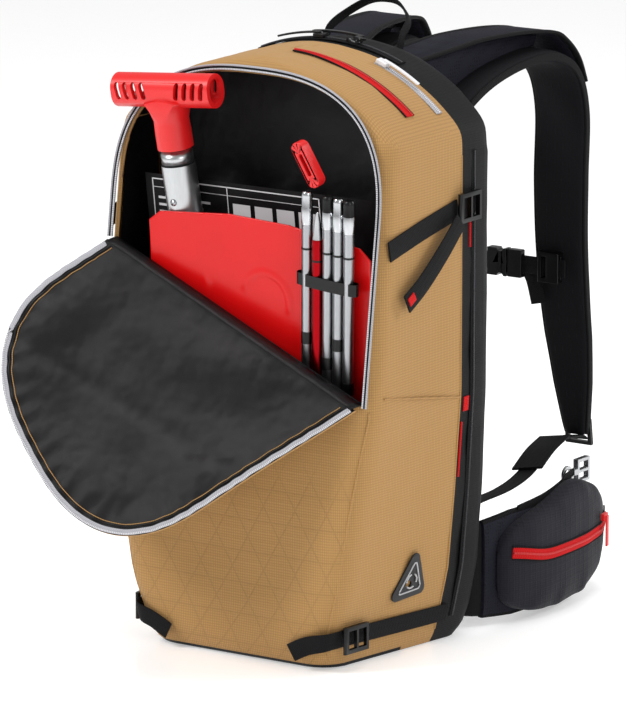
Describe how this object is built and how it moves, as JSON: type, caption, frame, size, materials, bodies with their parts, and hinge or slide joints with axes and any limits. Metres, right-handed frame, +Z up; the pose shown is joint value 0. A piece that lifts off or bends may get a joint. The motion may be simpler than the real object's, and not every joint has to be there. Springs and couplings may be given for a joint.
{
  "type": "avalanche airbag backpack",
  "caption": "Upright ski-touring airbag backpack with a diagonal fold-down tool pocket flap, stowed shovel and probe, padded harness and hip belt.",
  "frame": {"origin": "centre of the flat base, between the two side panels", "axes": "+Z up, +X to the side that carries the rubber patch, -Y towards the tool pocket, +Y towards the wearer"},
  "size_m": [0.3901, 0.5936, 0.6017],
  "materials": {
    "tan_ripstop": "woven ripstop",
    "black_cordura": "woven",
    "black_lining": "satin",
    "grey_zip": "woven tape",
    "red_zip": "woven tape",
    "black_zip": "satin",
    "black_rubber": "matt",
    "navy_mesh": "air mesh",
    "frame_plastic": "matt",
    "anodised_aluminium": "satin anodised",
    "bladder_fabric": "coated",
    "black_plastic": "moulded",
    "cable_jacket": "satin",
    "black_mesh": "air mesh",
    "black_webbing": "woven webbing",
    "painted_steel": "satin paint",
    "hardened_steel": "ground",
    "red_plastic": "moulded",
    "white_metal": "satin",
    "navy_ripstop": "woven ripstop",
    "polished_aluminium": "polished",
    "red_gloss": "gloss",
    "probe_aluminium": "satin anodised"
  },
  "bodies": {
    "pack": {"front_panel": "tan_ripstop", "side_panel_left": "tan_ripstop", "side_panel_right": "tan_ripstop", "top_panel": "tan_ripstop", "base_panel": "black_cordura", "airbag_cover": "black_cordura", "back_panel": "black_cordura", "pocket_liner": "black_lining", "tool_sleeve": "black_lining", "opening_zip_tape": "grey_zip", "top_zips": "red_zip", "side_patch": "black_rubber", "back_pads": "navy_mesh", "frame_sheet": "frame_plastic", "frame_stays": "anodised_aluminium", "airbag_bladders": "bladder_fabric", "inflator_body": "black_plastic", "pressure_gauge": "anodised_aluminium", "trigger_cable": "cable_jacket", "trigger_housing": "black_plastic", "shoulder_strap_left": "black_mesh", "shoulder_strap_right": "black_mesh", "yoke_panels": "navy_mesh", "shoulder_webbing": "black_webbing", "strap_ladder_locks": "black_plastic", "compression_straps": "black_webbing", "base_straps": "black_webbing"},
    "flap": {"flap_panel": "black_lining", "flap_zip_tape": "grey_zip"},
    "haul_loop": {"haul_loop": "black_webbing"},
    "shaft": {"shovel_lower_shaft": "anodised_aluminium"},
    "handle": {"shovel_grip": "red_plastic", "shovel_upper_shaft": "anodised_aluminium"},
    "button": {"shaft_button": "hardened_steel"},
    "blade": {"shovel_blade": "red_gloss"},
    "probe": {"probe_segments": "probe_aluminium"},
    "tensioner": {"probe_tensioner": "red_plastic"},
    "cylinder": {"gas_cylinder": "painted_steel"},
    "trigger": {"trigger_handle": "red_plastic"},
    "pin": {"piercing_pin": "hardened_steel"},
    "lever": {"inflator_lever": "red_plastic"},
    "white_slider": {"white_zip_slider": "white_metal"},
    "zip_left": {"main_zip_slider_left": "black_zip"},
    "zip_right": {"main_zip_slider_right": "black_zip"},
    "comp_buckle_left": {"compression_buckle_left": "black_plastic"},
    "comp_buckle_right": {"compression_buckle_right": "black_plastic"},
    "base_buckle_left": {"base_buckle_left": "black_plastic"},
    "base_buckle_right": {"base_buckle_right": "black_plastic"},
    "hip_left": {"hip_wing_left": "navy_mesh", "hip_pocket_left": "navy_ripstop"},
    "hip_right": {"hip_wing_right": "navy_mesh", "hip_pocket_right": "navy_ripstop", "belt_buckle_loop": "polished_aluminium"},
    "hip_zip_left": {"hip_zip_slider_left": "black_zip"},
    "hip_zip_right": {"hip_zip_slider_right": "black_zip"},
    "belt_hook": {"belt_buckle_hook": "polished_aluminium"},
    "sternum": {"sternum_sliders": "black_plastic", "sternum_webbing": "black_webbing", "sternum_buckle_female": "black_plastic"},
    "sternum_male": {"sternum_buckle_male": "black_plastic"}
  },
  "joints": [
    {"name": "flap_fold", "type": "hinge", "parent": "pack", "child": "flap", "pos_m": [0.147, -0.10996, 0.26253], "axis": [-0.9169, 0.0528, 0.3957], "range_deg": [0, 118]},
    {"name": "haul_loop_fold", "type": "hinge", "parent": "pack", "child": "haul_loop", "pos_m": [0, 0.1162, 0.557], "axis": [1, 0, 0], "range_deg": [-20, 25], "stiffness_Nm_per_rad": 0.05},
    {"name": "shaft_lift", "type": "slide", "parent": "pack", "child": "shaft", "axis": [-0.0767, -0.1353, 0.9878], "range_m": [0, 0.28]},
    {"name": "handle_extend", "type": "slide", "parent": "shaft", "child": "handle", "axis": [-0.0767, -0.1353, 0.9878], "range_m": [0, 0.16]},
    {"name": "button_press", "type": "slide", "parent": "shaft", "child": "button", "axis": [0, 0.9907, 0.1357], "range_m": [0, 0.0008], "stiffness_N_per_m": 150},
    {"name": "blade_lift", "type": "slide", "parent": "pack", "child": "blade", "axis": [0.0523, -0.1355, 0.9894], "range_m": [0, 0.32]},
    {"name": "probe_lift", "type": "slide", "parent": "pack", "child": "probe", "axis": [0.0941, -0.1351, 0.9864], "range_m": [0, 0.36]},
    {"name": "tensioner_pull", "type": "slide", "parent": "probe", "child": "tensioner", "axis": [0.0941, -0.1351, 0.9864], "range_m": [0, 0.02]},
    {"name": "cylinder_unscrew", "type": "hinge", "parent": "pack", "child": "cylinder", "pos_m": [-0.064, 0.04, 0.14], "axis": [0, 0, 1], "continuous": true},
    {"name": "trigger_pull", "type": "slide", "parent": "pack", "child": "trigger", "axis": [0, 0, -1], "range_m": [0, 0.05], "stiffness_N_per_m": 60, "springref_m": -0.02},
    {"name": "pin_stroke", "type": "slide", "parent": "pack", "child": "pin", "axis": [0, 0, -1], "range_m": [0, 0.005]},
    {"name": "lever_swing", "type": "hinge", "parent": "pack", "child": "lever", "pos_m": [-0.078, 0.04, 0.3184], "axis": [0, 1, 0], "range_deg": [0, 16.5]},
    {"name": "white_zip_run", "type": "hinge", "parent": "pack", "child": "white_slider", "pos_m": [0, 0.034, 0.361], "axis": [0, 1, 0], "range_deg": [0, 18]},
    {"name": "main_zip_run_left", "type": "hinge", "parent": "pack", "child": "zip_left", "pos_m": [0, 0.062, 0.361], "axis": [0, -1, 0], "range_deg": [0, 14]},
    {"name": "main_zip_run_right", "type": "hinge", "parent": "pack", "child": "zip_right", "pos_m": [0, 0.062, 0.361], "axis": [0, 1, 0], "range_deg": [0, 13]},
    {"name": "compression_buckle_tilt_left", "type": "hinge", "parent": "pack", "child": "comp_buckle_left", "pos_m": [-0.16355, 0.036, 0.429], "axis": [0, 0, 1], "range_deg": [0, 30], "stiffness_Nm_per_rad": 0.02},
    {"name": "base_buckle_tilt_left", "type": "hinge", "parent": "pack", "child": "base_buckle_left", "pos_m": [-0.12006, -0.0927, 0.031], "axis": [0, 0, 1], "range_deg": [0, 28], "stiffness_Nm_per_rad": 0.02},
    {"name": "hip_fold_left", "type": "hinge", "parent": "pack", "child": "hip_left", "pos_m": [-0.126, 0.122, 0.056], "axis": [0, 0, -1], "range_deg": [-8, 30], "stiffness_Nm_per_rad": 1.2},
    {"name": "hip_zip_run_left", "type": "hinge", "parent": "hip_left", "child": "hip_zip_left", "pos_m": [0.259, 0.215, 0.056], "axis": [0, 0, 1], "range_deg": [0, 15]},
    {"name": "compression_buckle_tilt_right", "type": "hinge", "parent": "pack", "child": "comp_buckle_right", "pos_m": [0.16355, 0.036, 0.429], "axis": [0, 0, -1], "range_deg": [0, 30], "stiffness_Nm_per_rad": 0.02},
    {"name": "base_buckle_tilt_right", "type": "hinge", "parent": "pack", "child": "base_buckle_right", "pos_m": [0.12006, -0.0927, 0.031], "axis": [0, 0, -1], "range_deg": [0, 28], "stiffness_Nm_per_rad": 0.02},
    {"name": "hip_fold_right", "type": "hinge", "parent": "pack", "child": "hip_right", "pos_m": [0.126, 0.122, 0.056], "axis": [0, 0, 1], "range_deg": [-8, 30], "stiffness_Nm_per_rad": 1.2},
    {"name": "hip_zip_run_right", "type": "hinge", "parent": "hip_right", "child": "hip_zip_right", "pos_m": [-0.259, 0.215, 0.056], "axis": [0, 0, -1], "range_deg": [0, 15]},
    {"name": "belt_hook_turn", "type": "hinge", "parent": "hip_right", "child": "belt_hook", "pos_m": [0.134, 0.2905, 0.1204], "axis": [-1, 0, 0], "range_deg": [0, 65]},
    {"name": "sternum_height", "type": "slide", "parent": "pack", "child": "sternum", "axis": [0, -0.126, 0.992], "range_m": [-0.02, 0.02]},
    {"name": "sternum_release", "type": "slide", "parent": "sternum", "child": "sternum_male", "axis": [1, 0, 0], "range_m": [0, 0.011]}
  ],
  "couplings": [
    {"joint": "pin_stroke", "follows": "trigger_pull", "ratio": 0.1},
    {"joint": "lever_swing", "follows": "trigger_pull", "rad_per_m": 5.72}
  ]
}
